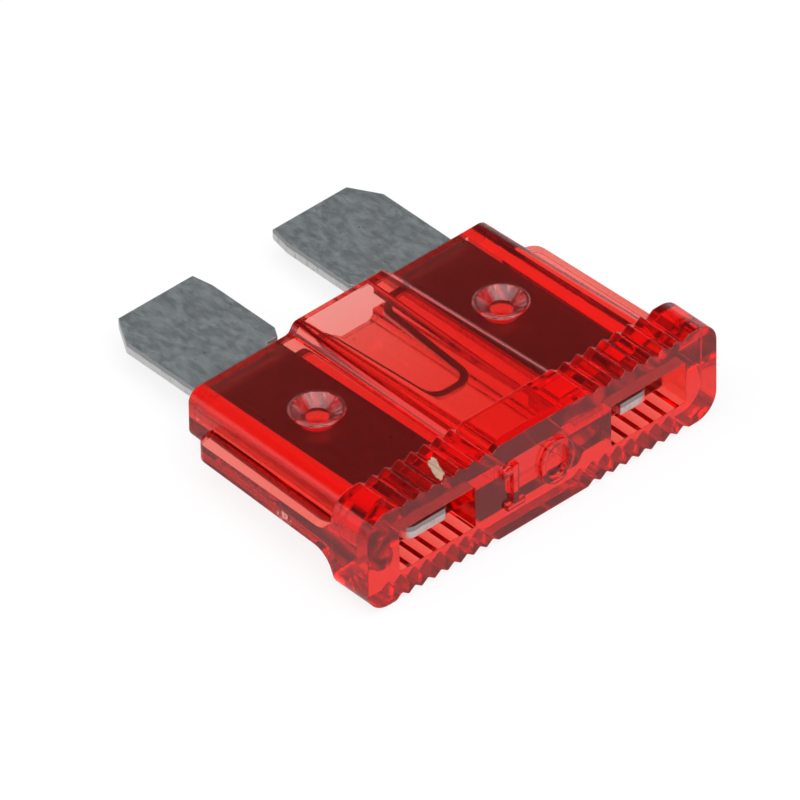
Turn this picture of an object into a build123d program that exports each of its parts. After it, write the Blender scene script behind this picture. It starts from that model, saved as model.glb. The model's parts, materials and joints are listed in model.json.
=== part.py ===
from build123d import *
import math
import os

# Regular automotive blade fuse: a one-piece moulded housing round a one-piece stamped fuse element.
# The part is worked out lying flat: X across its width, Y from the head's end face (y = 0) to the
# blade tips, Z through its thickness from the mid-plane of the blades. It is then turned to the
# attitude in which it lies on a table, with the head's lower back edge and the lower edge of the
# chamber's mouth on z = 0.
# All sizes are in millimetres and all angles in degrees.

# Head, the thick end that fingers or a puller grip
head_width = 19.1
head_depth = 2.15
head_thickness = 4.84
head_corner_radius = 1.12

# Grips: rows of grooves along Y, one row each side of a plain strip, on both faces of the head
groove_count = 8
groove_pitch = 0.705
groove_depth = 0.24
groove_crest = 0.06
groove_rounding = 0.08
plain_strip_half = 2.42

# Body, the drafted block that holds the terminals
body_length = 12.18
body_width = 16.44
body_thickness = 2.48
body_edge_radius = 0.58
draft_angle = 1.3

# Chamber, the raised middle of the body over the fuse link
chamber_width = 5.3
chamber_thickness = 3.44
chamber_side_run = 0.28
chamber_edge_radius = 0.38
chamber_foot_radius = 0.3

# Wings, the thin flanges along both sides of the body
wing_width = 18.68
wing_thickness = 0.82
wing_end = 10.6
wing_corner_radius = 0.6
wing_flare_radius = 1.15
wing_flare_height = 1.7
wing_plane = -0.12
wing_inset = 0.02
wing_root_y = 1.0

# Hollows of the housing
chamber_bore_width = 3.84
chamber_bore_thickness = 2.2
chamber_bore_radius = 0.35
chamber_bore_start = 1.05
blade_clearance = 0.06
blade_slot_start = 2.7
pocket_centre = 5.785
pocket_width = 4.13
pocket_height = 2.06
pocket_depth = 1.4
pocket_corner_radius = 0.08
tongue_clearance = 0.06
cut_margin = 1.0

# Stakes: plastic driven by a punch from both faces through a hole in each terminal
stake_spacing = 10.1
stake_shift = -0.22
stake_y = 7.69
stake_hole_radius = 0.74
stake_clearance = 0.05
crater_radius = 0.9
crater_floor_radius = 0.5
crater_depth = 0.3
crater_lip = 0.09
crater_lip_width = 0.2

# Rating numerals, raised on the head's end face
numeral_height = 2.2
numeral_base = -1.05
numeral_relief = 0.2
numeral_stroke = 0.27
stem_width = 0.32
stem_centre = -1.66
flag_length = 0.5
flag_drop = 0.2
foot_left = 0.46
foot_right = 0.5
zero_centre = 0.62
zero_width = 1.8

# Fuse element, stamped from one sheet
blade_thickness = 0.56
blade_plane = -0.1
blade_gap = 4.08
blade_width = 5.02
blade_tip = 18.7
tip_bevel = 0.08
outer_chamfer_width = 0.85
outer_chamfer_length = 1.45
inner_chamfer_width = 0.2
inner_chamfer_length = 1.1
notch_y = 13.84
notch_slope_width = 0.3
notch_slope_length = 0.5
terminal_gap = 5.9
shoulder_y = 2.9
tongue_inner = 4.8
left_tongue_width = 2.1
right_tongue_width = 1.6
tongue_tip = 0.6
tongue_corner_radius = 0.5
link_width = 0.34
link_thickness = 0.22
link_shoulder_y = 11.55
link_left_top_x = -1.55
link_right_top_x = 1.85
link_left_bend_x = -0.7
link_right_bend_x = 1.28
link_bend_y = 5.62
link_bend_radius = 0.8
link_corner_radius = 0.6
link_root_overlap = 0.3

draft_slope = math.tan(math.radians(draft_angle))
rest_tilt = math.degrees(math.atan((head_thickness - chamber_thickness) / 2 / (body_length - head_depth)))


def crossPlane(y):
    """A plane across the fuse at y: its local x is X and its local y is Z, its normal is -Y."""
    return Plane(origin=(0, y, 0), x_dir=(1, 0, 0), z_dir=(0, -1, 0))


def bodySection(y):
    """The outline of body and chamber at y, a little larger the nearer it is to the head."""
    growth = (body_length - y) * draft_slope
    half_body = body_thickness / 2 + growth
    half_chamber = chamber_thickness / 2 + growth
    top_half = (chamber_width - chamber_side_run) / 2 + growth
    foot_half = (chamber_width + chamber_side_run) / 2 + growth
    outline = RectangleRounded(body_width + 2 * growth, 2 * half_body, body_edge_radius)
    outline += Polygon(
        (foot_half, half_body),
        (top_half, half_chamber),
        (-top_half, half_chamber),
        (-foot_half, half_body),
        (-foot_half, -half_body),
        (-top_half, -half_chamber),
        (top_half, -half_chamber),
        (foot_half, -half_body),
        align=None,
    )
    feet = [v for v in outline.vertices() if abs(abs(v.X) - foot_half) < 0.01]
    outline = fillet(feet, chamber_foot_radius)
    tops = [v for v in outline.vertices() if abs(abs(v.Y) - half_chamber) < 0.01]
    return crossPlane(y) * fillet(tops, chamber_edge_radius)


def makeBody():
    """The drafted body with its raised chamber, from the mouth into the head."""
    return loft([bodySection(body_length), bodySection(head_depth / 2)], ruled=True)


def makeHead():
    """The head with its four rows of grooves, which run through to its back face."""
    outline = RectangleRounded(head_width, head_thickness, head_corner_radius)
    surface = head_thickness / 2
    half_groove = (groove_pitch - groove_crest) / 2
    for index in range(groove_count):
        centre = plain_strip_half + groove_pitch * (index + 0.5)
        groove = Polygon(
            (centre - half_groove, surface),
            (centre, surface - groove_depth),
            (centre + half_groove, surface),
            align=None,
        )
        groove += mirror(groove, Plane.YZ)
        outline -= groove
        outline -= mirror(groove, Plane.XZ)
    row_end = plain_strip_half + groove_pitch * groove_count
    edges = [v for v in outline.vertices() if abs(v.Y) > surface - groove_depth - 0.01]
    edges = [v for v in edges if abs(v.X) < row_end]
    outline = fillet(edges, groove_rounding)
    return extrude(crossPlane(head_depth) * outline, head_depth)


def makeWings():
    """The two flanges, each with a rounded end at the mouth and a flare into the head's back."""
    half_width = wing_width / 2
    corner_y = wing_end - wing_corner_radius
    root_half = half_width + (corner_y - head_depth) * draft_slope
    half_root = wing_thickness / 2 + (wing_end - head_depth) * draft_slope / 2
    with BuildSketch() as plan_sketch:
        with BuildLine():
            Line((0, wing_root_y), (root_half, wing_root_y))
            Line((root_half, wing_root_y), (root_half, head_depth))
            Line((root_half, head_depth), (half_width, corner_y))
            RadiusArc((half_width, corner_y), (half_width - wing_corner_radius, wing_end), -wing_corner_radius)
            Line((half_width - wing_corner_radius, wing_end), (0, wing_end))
            Line((0, wing_end), (0, wing_root_y))
        make_face()
        mirror(about=Plane.YZ)
    plan = extrude(plan_sketch.sketch, head_thickness / 2, both=True)
    flare_end = head_depth + wing_flare_radius
    with BuildSketch() as side_sketch:
        with BuildLine():
            Line((wing_end, 0), (wing_end, wing_thickness / 2))
            Line((wing_end, wing_thickness / 2), (flare_end, half_root))
            RadiusArc((flare_end, half_root), (head_depth, wing_flare_height), wing_flare_radius)
            Line((head_depth, wing_flare_height), (wing_root_y, wing_flare_height))
            Line((wing_root_y, wing_flare_height), (wing_root_y, 0))
            Line((wing_root_y, 0), (wing_end, 0))
        make_face()
        mirror(about=Plane.XZ)
    side_plane = Plane(origin=(0, 0, wing_plane), x_dir=(0, 1, 0), z_dir=(1, 0, 0))
    side = extrude(side_plane * side_sketch.sketch, head_width, both=True)
    limit = RectangleRounded(head_width - 2 * wing_inset, head_thickness - 2 * wing_inset, head_corner_radius)
    return plan & side & extrude(crossPlane(wing_end + cut_margin) * limit, wing_end + cut_margin)


def boreSection(y):
    """The outline of the hollow over the link at y, widest at the mouth."""
    shrink = 2 * (body_length - y) * draft_slope
    outline = RectangleRounded(chamber_bore_width - shrink, chamber_bore_thickness - shrink, chamber_bore_radius)
    return crossPlane(y) * outline


def makeHollows():
    """The hollow over the link, the slots for both terminals, and the probe pockets in the end face."""
    bore = loft([boreSection(body_length + cut_margin), boreSection(chamber_bore_start)], ruled=True)
    slot_half = blade_thickness / 2 + blade_clearance
    mouth_half = slot_half + (body_length - blade_slot_start) * draft_slope / 2
    terminal_outer = blade_gap / 2 + blade_width + blade_clearance
    slot_start = Pos(0, blade_plane) * Rectangle(2 * terminal_outer, 2 * slot_half)
    slot_mouth = Pos(0, blade_plane) * Rectangle(2 * terminal_outer, 2 * mouth_half)
    hollows = bore + loft([crossPlane(blade_slot_start) * slot_start, crossPlane(body_length) * slot_mouth])
    for side, width in ((-1, left_tongue_width), (1, right_tongue_width)):
        tongue_centre = side * (tongue_inner + width / 2)
        passage = Pos(tongue_centre, blade_plane) * Rectangle(width + 2 * tongue_clearance, 2 * slot_half)
        passage = extrude(crossPlane(blade_slot_start + tongue_clearance) * passage, blade_slot_start)
        pocket = RectangleRounded(pocket_width, pocket_height, pocket_corner_radius)
        pocket = extrude(crossPlane(pocket_depth) * Pos(side * pocket_centre, 0) * pocket, pocket_depth + cut_margin)
        hollows += passage
        hollows += pocket
    return hollows


def stakeCentres():
    """The middle of each stake in X, left then right."""
    return (stake_shift - stake_spacing / 2, stake_shift + stake_spacing / 2)


def makeStakeColumn(x):
    """The plastic that fills one terminal's hole, joined to the walls above and below."""
    return Pos(x, stake_y, 0) * Cylinder(stake_hole_radius - stake_clearance, body_thickness / 2)


def stakeFace():
    """The height of the body's face above the mid-plane at the stakes."""
    return body_thickness / 2 + (body_length - stake_y) * draft_slope


def makeLip(x, side):
    """The low ring of plastic that the punch raises round one crater, a sloping rim sunk in the face."""
    low_plane = Plane(origin=(x, stake_y, side * (stakeFace() - crater_lip)), x_dir=(1, 0, 0), z_dir=(0, 0, side))
    high_plane = Plane(origin=(x, stake_y, side * (stakeFace() + crater_lip)), x_dir=(1, 0, 0), z_dir=(0, 0, side))
    low = low_plane * Circle(crater_radius + 2 * crater_lip_width)
    high = high_plane * Circle(crater_radius + crater_lip_width)
    return loft([low, high], ruled=True)


def makeCrater(x, side):
    """The tapered hollow that the punch leaves in one face."""
    floor_height = stakeFace() - crater_depth
    slope = (crater_radius - crater_floor_radius) / crater_depth
    top_radius = crater_radius + slope * 2 * crater_lip
    floor_plane = Plane(origin=(x, stake_y, side * floor_height), x_dir=(1, 0, 0), z_dir=(0, 0, side))
    top_plane = Plane(origin=(x, stake_y, side * (stakeFace() + 2 * crater_lip)), x_dir=(1, 0, 0), z_dir=(0, 0, side))
    return loft([floor_plane * Circle(crater_floor_radius), top_plane * Circle(top_radius)], ruled=True)


def makeNumerals():
    """The raised figures 1 and 0, seen upright by someone facing the end face."""
    stem = Pos(stem_centre, numeral_base + numeral_height / 2) * Rectangle(stem_width, numeral_height)
    top = numeral_base + numeral_height
    stem_left = stem_centre - stem_width / 2
    flag = Polygon(
        (stem_left + stem_width, top),
        (stem_left - flag_length, top - flag_drop),
        (stem_left - flag_length, top - flag_drop - numeral_stroke),
        (stem_left + stem_width, top - numeral_stroke),
        align=None,
    )
    foot_width = foot_left + foot_right
    foot_centre = stem_centre + (foot_right - foot_left) / 2
    foot = Pos(foot_centre, numeral_base + numeral_stroke / 2) * Rectangle(foot_width, numeral_stroke)
    zero_outside = Ellipse(zero_width / 2, numeral_height / 2)
    zero_inside = Ellipse(zero_width / 2 - numeral_stroke, numeral_height / 2 - numeral_stroke)
    zero = Pos(zero_centre, numeral_base + numeral_height / 2) * (zero_outside - zero_inside)
    figures = stem + flag + foot + zero
    return extrude(crossPlane(0) * figures, numeral_relief)


def makeHousing():
    """The moulded housing: head, body, wings, hollows, staked columns and numerals."""
    housing = makeHead() + makeBody() + makeWings()
    housing -= makeHollows()
    for x in stakeCentres():
        housing += makeStakeColumn(x)
        for side in (1, -1):
            housing += makeLip(x, side)
            housing -= makeCrater(x, side)
    return housing + makeNumerals()


def terminalOutline(side, tongue_width):
    """One terminal in plan: blade outside the housing, notch, wide part inside it and tongue."""
    inner = blade_gap / 2
    outer = inner + blade_width
    inside = terminal_gap / 2
    tongue_outer = tongue_inner + tongue_width
    points = [
        (inner + inner_chamfer_width, blade_tip),
        (outer - outer_chamfer_width, blade_tip),
        (outer, blade_tip - outer_chamfer_length),
        (outer, shoulder_y),
        (tongue_outer, shoulder_y),
        (tongue_outer, tongue_tip),
        (tongue_inner, tongue_tip),
        (tongue_inner, shoulder_y),
        (inside, shoulder_y),
        (inside, notch_y - notch_slope_length),
        (inner + notch_slope_width, notch_y - notch_slope_length),
        (inner, notch_y),
        (inner, blade_tip - inner_chamfer_length),
    ]
    outline = Polygon(*[(side * x, y) for x, y in points], align=None)
    corners = [v for v in outline.vertices() if abs(v.X - side * tongue_outer) < 0.01 and abs(v.Y - tongue_tip) < 0.01]
    return fillet(corners, tongue_corner_radius)


def makeLink():
    """The thin strip that melts: out from one terminal, round a bend and back to the other."""
    left_terminal = -terminal_gap / 2 - link_root_overlap
    right_terminal = terminal_gap / 2 + link_root_overlap
    path = FilletPolyline(
        (left_terminal, link_shoulder_y, 0),
        (link_left_top_x, link_shoulder_y, 0),
        (link_left_bend_x, link_bend_y, 0),
        (link_right_bend_x, link_bend_y, 0),
        (link_right_top_x, link_shoulder_y, 0),
        (right_terminal, link_shoulder_y, 0),
        radius=(link_corner_radius, link_bend_radius, link_bend_radius, link_corner_radius),
    )
    start = Plane(origin=(left_terminal, link_shoulder_y, 0), x_dir=(0, 1, 0), z_dir=(1, 0, 0))
    return sweep(start * Rectangle(link_width, link_thickness), path=path)


def makeFuseElement():
    """The stamped element: two terminals with bevelled tips and stake holes, joined by the link."""
    element = makeLink()
    for side, tongue_width, stake_x in zip((-1, 1), (left_tongue_width, right_tongue_width), stakeCentres()):
        terminal = extrude(terminalOutline(side, tongue_width), blade_thickness / 2, both=True)
        tip_edges = terminal.faces().sort_by(Axis.Y)[-1].edges().filter_by(Axis.X)
        terminal = chamfer(tip_edges, tip_bevel)
        terminal -= Pos(stake_x, stake_y, 0) * Cylinder(stake_hole_radius, blade_thickness * 2)
        element += terminal
    return Pos(0, 0, blade_plane) * element


def restPlacement(pieces):
    """The move that turns the flat parts to rest on z = 0, centred over the origin."""
    turned = Rot(-rest_tilt, 0, 0)
    box = Compound([turned * piece for piece in pieces]).bounding_box()
    middle_x = (box.min.X + box.max.X) / 2
    middle_y = (box.min.Y + box.max.Y) / 2
    return Pos(-middle_x, -middle_y, -box.min.Z) * turned


os.makedirs("parts", exist_ok=True)
housing = makeHousing()
fuse_element = makeFuseElement()
placement = restPlacement([housing, fuse_element])
export_step(placement * housing, "parts/housing.step")
export_step(placement * fuse_element, "parts/fuse_element.step")
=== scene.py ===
import json
import math

import bmesh
import bpy
from mathutils import Matrix, Vector

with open("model.json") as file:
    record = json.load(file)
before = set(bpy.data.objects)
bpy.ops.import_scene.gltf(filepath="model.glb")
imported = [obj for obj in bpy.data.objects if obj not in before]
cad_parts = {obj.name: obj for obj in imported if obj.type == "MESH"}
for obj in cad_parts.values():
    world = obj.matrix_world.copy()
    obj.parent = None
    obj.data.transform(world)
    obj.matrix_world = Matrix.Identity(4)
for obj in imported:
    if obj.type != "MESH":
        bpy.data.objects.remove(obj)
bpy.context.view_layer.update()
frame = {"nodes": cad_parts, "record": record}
print("frame loaded")

millimetre = 0.001

# The fuse lies tipped a little on its head. The probe pocket's place and axis say by how much,
# and give the way from the fuse's own flat frame (head's end face at y = 0) to the resting one.
pocket = next(mount for mount in frame["record"]["mounts"] if mount["name"] == "left_probe_pocket")
tilt = math.atan2(pocket["axis"][2], -pocket["axis"][1])
restShift = Vector((0, pocket["pos_m"][1], pocket["pos_m"][2]))
restMatrix = Matrix.Translation(restShift) @ Matrix.Rotation(-tilt, 4, "X")

# Camera: target and distance in millimetres of the flat frame, angles in degrees
cameraSettings = {
    "target": (-1.336, 7.08, 0),
    "azimuth": -41.986,
    "elevation": 39.107,
    "roll": -0.7755,
    "distance": 685.513,
    "lens": 763.833,
    "sensor": 36,
    "clip": (0.01, 10),
}


def directionTo(azimuth, elevation):
    a = math.radians(azimuth)
    e = math.radians(elevation)
    return Vector((math.sin(a) * math.cos(e), -math.cos(a) * math.cos(e), math.sin(e)))


def addCamera(settings):
    back = directionTo(settings["azimuth"], settings["elevation"])
    target = Vector(settings["target"]) * millimetre
    turn = back.to_track_quat("Z", "Y").to_matrix().to_4x4()
    roll = Matrix.Rotation(math.radians(settings["roll"]), 4, "Z")
    data = bpy.data.cameras.new("camera")
    data.lens = settings["lens"]
    data.sensor_width = settings["sensor"]
    data.clip_start, data.clip_end = settings["clip"]
    camera = bpy.data.objects.new("camera", data)
    place = Matrix.Translation(target + back * settings["distance"] * millimetre)
    camera.matrix_world = restMatrix @ place @ turn @ roll
    bpy.context.scene.collection.objects.link(camera)
    bpy.context.scene.camera = camera


addCamera(cameraSettings)
print("camera placed")


def newMaterial(name):
    material = bpy.data.materials.new(name)
    material.use_nodes = True
    tree = material.node_tree
    return material, tree, tree.nodes["Principled BSDF"]


def addNode(tree, kind, values=None, **options):
    # each value is a socket to link from or a plain value
    node = tree.nodes.new(kind)
    for key, value in options.items():
        setattr(node, key, value)
    for key, value in (values or {}).items():
        if isinstance(value, bpy.types.NodeSocket):
            tree.links.new(value, node.inputs[key])
        else:
            node.inputs[key].default_value = value
    return node


def doMath(tree, operation, a, b=0.0, clamp=False):
    return addNode(tree, "ShaderNodeMath", {0: a, 1: b}, operation=operation, use_clamp=clamp).outputs[0]


def times(tree, a, b):
    return doMath(tree, "MULTIPLY", a, b)


def doVector(tree, operation, a, b):
    return addNode(tree, "ShaderNodeVectorMath", {0: a, 1: b}, operation=operation).outputs[0]


def splitXYZ(tree, vector):
    return addNode(tree, "ShaderNodeSeparateXYZ", {0: vector}).outputs


def flatPoint(tree):
    # the shaded point in millimetres in the flat frame
    point = addNode(tree, "ShaderNodeTexCoord").outputs["Object"]
    origin = restMatrix.inverted() @ Vector((0, 0, 0)) / millimetre
    mapping = addNode(tree, "ShaderNodeMapping", {
        "Vector": point,
        "Location": origin,
        "Rotation": (tilt, 0, 0),
        "Scale": (1 / millimetre, 1 / millimetre, 1 / millimetre),
    })
    return mapping.outputs[0]


def flatNormal(tree):
    normal = addNode(tree, "ShaderNodeTexCoord").outputs["Normal"]
    return addNode(tree, "ShaderNodeMapping", {"Vector": normal, "Rotation": (tilt, 0, 0)}).outputs[0]


def stretched(tree, point, scale):
    return addNode(tree, "ShaderNodeMapping", {"Vector": point, "Scale": scale}).outputs[0]


def noise(tree, point, scale, detail=3.0, roughness=0.55):
    values = {"Vector": point, "Scale": scale, "Detail": detail, "Roughness": roughness}
    return addNode(tree, "ShaderNodeTexNoise", values).outputs["Fac"]


def cells(tree, point, scale):
    # distance to the nearest of points scattered at random
    return addNode(tree, "ShaderNodeTexVoronoi", {"Vector": point, "Scale": scale}).outputs["Distance"]


def step(tree, value, low, high, start=0.0, end=1.0):
    values = {"Value": value, "From Min": low, "From Max": high, "To Min": start, "To Max": end}
    return addNode(tree, "ShaderNodeMapRange", values, interpolation_type="SMOOTHSTEP").outputs["Result"]


def spot(tree, point, centre, size, edge=0.4, turn=0.0):
    # 1 inside an ellipsoid of these half sizes, turned about Z, and 0 outside it
    moved = doVector(tree, "SUBTRACT", point, centre)
    values = {"Vector": moved, "Angle": -turn}
    turned = addNode(tree, "ShaderNodeVectorRotate", values, rotation_type="Z_AXIS").outputs[0]
    scaled = doVector(tree, "DIVIDE", turned, size)
    length = addNode(tree, "ShaderNodeVectorMath", {0: scaled}, operation="LENGTH").outputs["Value"]
    return step(tree, length, 1 - edge, 1, 1, 0)


def mixColour(tree, factor, a, b):
    node = addNode(tree, "ShaderNodeMix", data_type="RGBA")
    for socket, value in ((node.inputs[0], factor), (node.inputs[6], a), (node.inputs[7], b)):
        if isinstance(value, bpy.types.NodeSocket):
            tree.links.new(value, socket)
        else:
            socket.default_value = value
    return node.outputs[2]


def mixShader(tree, factor, a, b):
    return addNode(tree, "ShaderNodeMixShader", {0: factor, 1: a, 2: b}).outputs[0]


def paint(tree, colour, roughness, normal=None):
    values = {"Base Color": colour, "Roughness": roughness}
    if normal is not None:
        values["Normal"] = normal
    return addNode(tree, "ShaderNodeBsdfPrincipled", values).outputs[0]


def roundedBump(tree, edgeRadius, strength, distance, height):
    # worn edges from the bevel node under a fine relief, both sizes in millimetres
    bevel = addNode(tree, "ShaderNodeBevel", {"Radius": edgeRadius * millimetre}, samples=6)
    return addNode(tree, "ShaderNodeBump", {
        "Strength": strength,
        "Distance": distance * millimetre,
        "Height": height,
        "Normal": bevel.outputs[0],
    }).outputs[0]


# Clear red plastic. The cloud is the little that the plastic scatters, less on its broad faces
# and more on its upright ones.
redSettings = {
    "ior": 1.585,
    "roughness": (0.035, 0.1),
    "wearScale": 1.7,
    "wearRange": (0.35, 0.7),
    "absorption": (0.988, 0.13, 0.03, 1),
    "density": 1700,
    "cloud": (0.022, 0.13),
    "cloudRange": (0.75, 0.4),
    "cloudColour": (0.85, 0.02, 0.02, 1),
    "cloudRoughness": 0.3,
    "rippleHeight": 0.004,
    "rippleScale": 0.9,
    "grainScale": 14,
    "grainShare": 0.06,
    "edgeRadius": 0.05,
}

# Stakes: places in the flat frame, outer radius of the punched ring, and the height over the
# mid-plane from which it counts. The wall is the crater's side, where the punch left scratches.
stakeSettings = {
    "places": ((-5.27, 7.69), (4.83, 7.69)),
    "radius": 1.2,
    "depth": 0.95,
    "blur": 0.1,
    "roughness": 0.24,
    "dentScale": 7,
    "dentShare": 2.5,
    "wallInner": (0.62, 0.75),
    "wallOuter": (1.15, 1.0),
    "scratchScale": 2.6,
    "scratchesRound": 5.0,
    "scratchRange": (0.5, 0.62),
    "scratchAmount": 0.45,
    "scratchColour": (0.9, 0.2, 0.22, 1),
    "scratchRoughness": 0.6,
}

# Torn patch on a crest of the left grip
chipSettings = {
    "place": (-5.1, 0.8, 2.3),
    "size": (0.34, 1.25, 0.6),
    "turn": -0.42,
    "edge": 0.9,
    "ragScale": 2.4,
    "ragStretch": (1, 1, 0.2),
    "ragRange": (0.78, 0.82),
    "limit": (0.05, 0.1),
    "mottleScale": 6,
    "dark": (0.28, 0.17, 0.11, 1),
    "light": (0.5, 0.36, 0.26, 1),
    "roughness": 0.8,
}

# Rough gate mark on the left wing
gateSettings = {
    "place": (-9.45, 5.1, -0.35),
    "size": (0.35, 0.55, 0.3),
    "dentScale": 5,
    "dentShare": 25.0,
    "markScale": 4.5,
    "markRange": (0.5, 0.62),
    "markAmount": 0.6,
    "colour": (0.85, 0.45, 0.38, 1),
    "roughness": 0.7,
}

# Dust
speckSettings = {
    "scale": 0.42,
    "range": (0.028, 0.02),
    "colour": (0.9, 0.75, 0.72, 1),
    "roughness": 0.7,
}


def stakeMasks(tree, point, settings):
    # ring: the punched ring and crater of either stake; marks: its radial scratches
    x, y, z = splitXYZ(tree, point)
    depth, radius, blur = settings["depth"], settings["radius"], settings["blur"]
    outside = step(tree, doMath(tree, "ABSOLUTE", z), depth, depth + blur)
    rings = []
    marks = []
    for stakeX, stakeY in settings["places"]:
        dx = doMath(tree, "SUBTRACT", x, stakeX)
        dy = doMath(tree, "SUBTRACT", y, stakeY)
        squared = doMath(tree, "ADD", times(tree, dx, dx), times(tree, dy, dy))
        distance = doMath(tree, "SQRT", squared)
        angle = doMath(tree, "ARCTAN2", dy, dx)
        disc = times(tree, step(tree, distance, radius, radius - blur), outside)
        rings.append(disc)
        values = {0: times(tree, angle, settings["scratchesRound"]), 1: distance}
        polar = addNode(tree, "ShaderNodeCombineXYZ", values).outputs[0]
        scratch = step(tree, noise(tree, polar, settings["scratchScale"], 4), *settings["scratchRange"])
        inner = step(tree, distance, *settings["wallInner"])
        outer = step(tree, distance, *settings["wallOuter"])
        marks.append(times(tree, times(tree, disc, times(tree, inner, outer)), scratch))
    return doMath(tree, "MAXIMUM", *rings), doMath(tree, "MAXIMUM", *marks)


def chipMask(tree, point, settings):
    torn = spot(tree, point, settings["place"], settings["size"], settings["edge"], settings["turn"])
    rag = noise(tree, stretched(tree, point, settings["ragStretch"]), settings["ragScale"], 4)
    ragged = step(tree, doMath(tree, "ADD", torn, rag), *settings["ragRange"])
    return times(tree, ragged, step(tree, torn, *settings["limit"]))


def makeRedPlastic(settings, stake, chip, gate, speck):
    material, tree, shader = newMaterial("red_housing")
    point = flatPoint(tree)
    ring, marks = stakeMasks(tree, point, stake)
    gateSpot = spot(tree, point, gate["place"], gate["size"])

    ripple = noise(tree, point, settings["rippleScale"], 2)
    grain = times(tree, noise(tree, point, settings["grainScale"], 3), settings["grainShare"])
    height = doMath(tree, "ADD", ripple, grain)
    dents = times(tree, ring, noise(tree, point, stake["dentScale"], 3))
    height = doMath(tree, "ADD", height, times(tree, dents, stake["dentShare"]))
    dents = times(tree, gateSpot, noise(tree, point, gate["dentScale"], 4))
    height = doMath(tree, "ADD", height, times(tree, dents, gate["dentShare"]))
    bump = roundedBump(tree, settings["edgeRadius"], 1.0, settings["rippleHeight"], height)

    worn = noise(tree, point, settings["wearScale"], 4)
    worn = step(tree, worn, *settings["wearRange"], *settings["roughness"])
    rough = doMath(tree, "MAXIMUM", worn, times(tree, ring, stake["roughness"]))
    shader.inputs["Base Color"].default_value = (1, 1, 1, 1)
    shader.inputs["Transmission Weight"].default_value = 1
    shader.inputs["IOR"].default_value = settings["ior"]
    tree.links.new(rough, shader.inputs["Roughness"])
    tree.links.new(bump, shader.inputs["Normal"])

    # the cloud, then the scratches, the chip, the gate mark and the dust over it
    upright = doMath(tree, "ABSOLUTE", splitXYZ(tree, flatNormal(tree))[2])
    clouded = step(tree, upright, *settings["cloudRange"], *settings["cloud"])
    cloud = paint(tree, settings["cloudColour"], settings["cloudRoughness"], bump)
    surface = mixShader(tree, clouded, shader.outputs[0], cloud)

    scratched = paint(tree, stake["scratchColour"], stake["scratchRoughness"], bump)
    surface = mixShader(tree, times(tree, marks, stake["scratchAmount"]), surface, scratched)

    tan = mixColour(tree, noise(tree, point, chip["mottleScale"], 4), chip["dark"], chip["light"])
    surface = mixShader(tree, chipMask(tree, point, chip), surface, paint(tree, tan, chip["roughness"]))

    mark = step(tree, noise(tree, point, gate["markScale"], 4), *gate["markRange"])
    mark = times(tree, times(tree, gateSpot, mark), gate["markAmount"])
    surface = mixShader(tree, mark, surface, paint(tree, gate["colour"], gate["roughness"]))

    specks = step(tree, cells(tree, point, speck["scale"]), *speck["range"])
    surface = mixShader(tree, specks, surface, paint(tree, speck["colour"], speck["roughness"]))

    output = tree.nodes["Material Output"]
    tree.links.new(surface, output.inputs["Surface"])
    values = {"Color": settings["absorption"], "Density": settings["density"]}
    volume = addNode(tree, "ShaderNodeVolumeAbsorption", values)
    tree.links.new(volume.outputs[0], output.inputs["Volume"])
    return material


# Stamped zinc: rolled faces with streaks along the blades, with painted shade darkening them where the
# housing covers them
zincSettings = {
    "dark": (0.31, 0.345, 0.355, 1),
    "light": (0.375, 0.405, 0.415, 1),
    # painted shade: how far the colour is darkened under the housing, and the y range where that starts
    "housingShade": 0.62,
    "housingShadeTo": (13.3, 13.1),
    "pit": (0.06, 0.065, 0.07, 1),
    "pitScale": 1.1,
    "pitRange": (0.07, 0.04),
    "pitRelief": 0.8,
    "swayScale": 0.35,
    "streakStretch": (10, 0.8, 1),
    "streakScale": 1.5,
    "streakRelief": 0.8,
    "mottleStretch": (1.8, 1.0, 1),
    "mottleScale": 1.6,
    "streakShare": 0.75,
    "toneRange": (0.36, 0.64),
    "fleckStretch": (5.5, 1.1, 1),
    "fleckScale": 2.4,
    "fleckRange": (0.67, 0.74),
    "fleckAmount": 0.6,
    "grainScale": 9,
    "grainRelief": 0.5,
    "roughness": (0.38, 0.52),
    "polishRange": (0.35, 0.65),
    "edgeRadius": 0.05,
    "reliefStrength": 0.6,
    "relief": 0.02,
}

# The sheared edges are rough and grey above a wavy line and bright below it
cutSettings = {
    "facing": (0.75, 0.55),
    "bright": (0.95, 0.95, 0.94, 1),
    "rough": (0.48, 0.49, 0.49, 1),
    "line": (0.06, -0.02),
    "waveScale": 1.6,
    "wave": 0.12,
    "scuffStretch": (1, 1, 0.3),
    "scuffScale": 6,
    "scuffRange": (0.5, 0.75),
    "scuffAmount": 0.5,
}


def cutColour(tree, point, z, settings):
    wave = times(tree, noise(tree, point, settings["waveScale"], 3), settings["wave"])
    bright = step(tree, doMath(tree, "ADD", z, wave), *settings["line"])
    colour = mixColour(tree, bright, settings["rough"], settings["bright"])
    scuffs = noise(tree, stretched(tree, point, settings["scuffStretch"]), settings["scuffScale"], 4)
    scuffs = step(tree, scuffs, *settings["scuffRange"], 0, settings["scuffAmount"])
    return mixColour(tree, scuffs, colour, settings["rough"])


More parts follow.
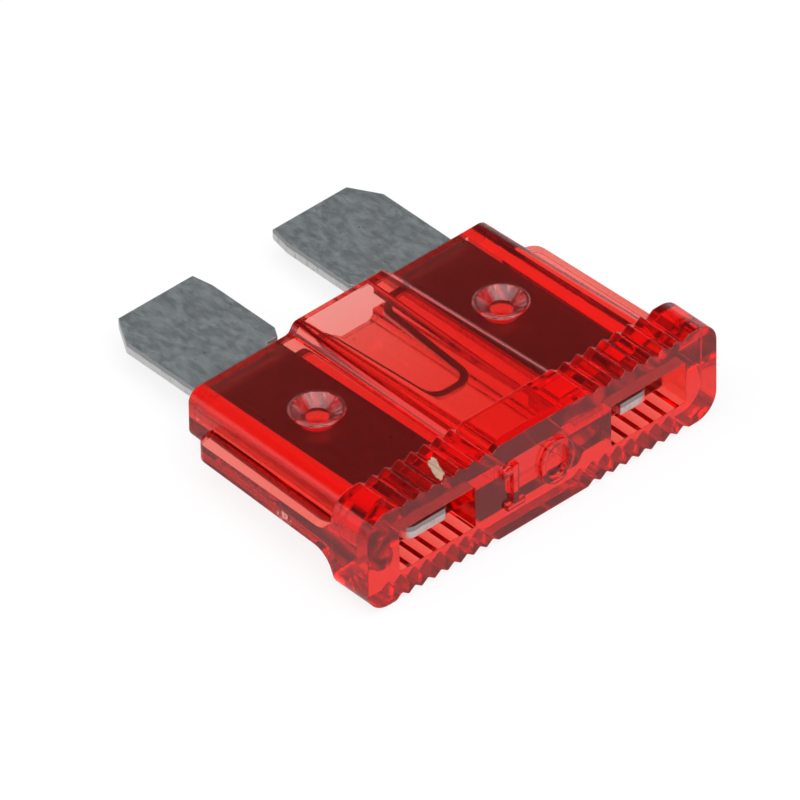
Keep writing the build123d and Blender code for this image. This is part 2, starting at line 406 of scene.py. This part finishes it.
def makeZinc(settings, cut):
    material, tree, shader = newMaterial("zinc_element")
    point = flatPoint(tree)
    facing = doMath(tree, "ABSOLUTE", splitXYZ(tree, flatNormal(tree))[2])
    y, z = splitXYZ(tree, point)[1:]

    sway = noise(tree, point, settings["swayScale"], 2)
    wander = addNode(tree, "ShaderNodeCombineXYZ", {0: sway}).outputs[0]
    swayed = doVector(tree, "ADD", point, wander)
    streaks = stretched(tree, swayed, settings["streakStretch"])
    streaks = noise(tree, streaks, settings["streakScale"], 6, 0.75)
    mottle = stretched(tree, point, settings["mottleStretch"])
    mottle = noise(tree, mottle, settings["mottleScale"], 6, 0.7)
    share = settings["streakShare"]
    tone = doMath(tree, "ADD", times(tree, streaks, share), times(tree, mottle, 1 - share))
    face = mixColour(tree, step(tree, tone, *settings["toneRange"]), settings["dark"], settings["light"])
    flecks = noise(tree, stretched(tree, swayed, settings["fleckStretch"]), settings["fleckScale"], 3)
    flecks = times(tree, step(tree, flecks, *settings["fleckRange"]), settings["fleckAmount"])
    pits = step(tree, cells(tree, point, settings["pitScale"]), *settings["pitRange"])
    face = mixColour(tree, doMath(tree, "MAXIMUM", flecks, pits), face, settings["pit"])

    edge = step(tree, facing, *cut["facing"])
    colour = mixColour(tree, edge, face, cutColour(tree, point, z, cut))
    # painted shade: the faces under the housing, but not their cut edges, get a darker colour in place
    # of the shade there
    housingShadeMask = times(tree, step(tree, y, *settings["housingShadeTo"]), doMath(tree, "SUBTRACT", 1.0, edge))
    shade = step(tree, housingShadeMask, 0, 1, 1, settings["housingShade"])
    values = {0: colour, "Scale": shade}
    colour = addNode(tree, "ShaderNodeVectorMath", values, operation="SCALE").outputs[0]

    grain = times(tree, noise(tree, point, settings["grainScale"], 4), settings["grainRelief"])
    height = doMath(tree, "ADD", times(tree, streaks, settings["streakRelief"]), grain)
    height = doMath(tree, "SUBTRACT", height, times(tree, pits, settings["pitRelief"]))
    strength, relief = settings["reliefStrength"], settings["relief"]
    bump = roundedBump(tree, settings["edgeRadius"], strength, relief, height)
    shader.inputs["Metallic"].default_value = 1
    tree.links.new(colour, shader.inputs["Base Color"])
    rough = step(tree, mottle, *settings["polishRange"], *settings["roughness"])
    tree.links.new(rough, shader.inputs["Roughness"])
    tree.links.new(bump, shader.inputs["Normal"])
    return material


redPlastic = makeRedPlastic(redSettings, stakeSettings, chipSettings, gateSettings, speckSettings)
zinc = makeZinc(zincSettings, cutSettings)
for name, material in (("housing", redPlastic), ("fuse_element", zinc)):
    holder = frame["nodes"][name]
    holder.data.materials.clear()
    holder.data.materials.append(material)
print("materials made")

# White floor. What the fuse mirrors of it is dimmer than what is seen of it directly or through
# the plastic, and the camera also sees the fuse's shadow on it.
floorSettings = {
    "size": 4.0,
    "colour": (0.8, 0.8, 0.8, 1),
    "roughness": 0.9,
    "glow": 0.85,
    "mirroredStrength": 0.5,
}


def addFloor(settings):
    mesh = bpy.data.meshes.new("floor")
    bm = bmesh.new()
    bmesh.ops.create_grid(bm, x_segments=1, y_segments=1, size=settings["size"] / 2)
    bm.to_mesh(mesh)
    bm.free()
    floor = bpy.data.objects.new("floor", mesh)
    bpy.context.scene.collection.objects.link(floor)
    material, tree, shader = newMaterial("floor")
    shader.inputs["Base Color"].default_value = settings["colour"]
    shader.inputs["Roughness"].default_value = settings["roughness"]
    shader.inputs["Specular IOR Level"].default_value = 0.0
    path = addNode(tree, "ShaderNodeLightPath").outputs
    # a rough ray through the plastic counts as glossy too, so it is taken off here
    reflected = doMath(tree, "SUBTRACT", path["Is Glossy Ray"], path["Is Transmission Ray"], True)
    strength = doMath(tree, "SUBTRACT", 1.0, times(tree, reflected, 1 - settings["mirroredStrength"]))
    glow = addNode(tree, "ShaderNodeEmission", {"Color": (1, 1, 1, 1), "Strength": strength}).outputs[0]
    seen = times(tree, path["Is Camera Ray"], settings["glow"])
    factor = doMath(tree, "MAXIMUM", seen, path["Is Glossy Ray"])
    factor = doMath(tree, "MAXIMUM", factor, path["Is Transmission Ray"])
    surface = mixShader(tree, factor, shader.outputs[0], glow)
    tree.links.new(surface, tree.nodes["Material Output"].inputs["Surface"])
    mesh.materials.append(material)


addFloor(floorSettings)

# The backdrop is white up to its top edge, between these two heights of the world's direction;
# the room above it is dim, and white again for the camera
worldSettings = {
    "backdrop": 0.9,
    "room": 0.06,
    "throughPlastic": 0.22,
    "low": 0.2,
    "high": 0.6,
}


def addWorld(settings):
    world = bpy.data.worlds.new("studio")
    world.use_nodes = True
    tree = world.node_tree
    background = tree.nodes["Background"]
    height = splitXYZ(tree, addNode(tree, "ShaderNodeTexCoord").outputs["Generated"])[2]
    room = step(tree, height, settings["low"], settings["high"], settings["backdrop"], settings["room"])
    path = addNode(tree, "ShaderNodeLightPath").outputs
    through = times(tree, path["Is Transmission Ray"], settings["throughPlastic"])
    shown = doMath(tree, "MAXIMUM", path["Is Camera Ray"], through)
    tree.links.new(doMath(tree, "MAXIMUM", room, shown), background.inputs["Strength"])
    background.inputs["Color"].default_value = (1, 1, 1, 1)
    bpy.context.scene.world = world


addWorld(worldSettings)

# Lamps: azimuth and elevation in degrees, distance and side in metres, power in watts
lampSettings = {
    "overhead": (-20, 80, 0.5, 0.5, 2.8),
    "left": (-110, 45, 0.5, 0.35, 0.9),
    "front": (20, 40, 0.5, 0.3, 0.5),
}


def addLamp(name, azimuth, elevation, distance, side, power):
    back = directionTo(azimuth, elevation)
    data = bpy.data.lights.new(name, "AREA")
    data.shape = "SQUARE"
    data.size = side
    data.energy = power
    lamp = bpy.data.objects.new(name, data)
    turn = back.to_track_quat("Z", "Y").to_matrix().to_4x4()
    lamp.matrix_world = Matrix.Translation(back * distance) @ turn
    bpy.context.scene.collection.objects.link(lamp)


for name, values in lampSettings.items():
    addLamp(name, *values)
bpy.context.scene.view_settings.view_transform = "Standard"
print("stage lit")
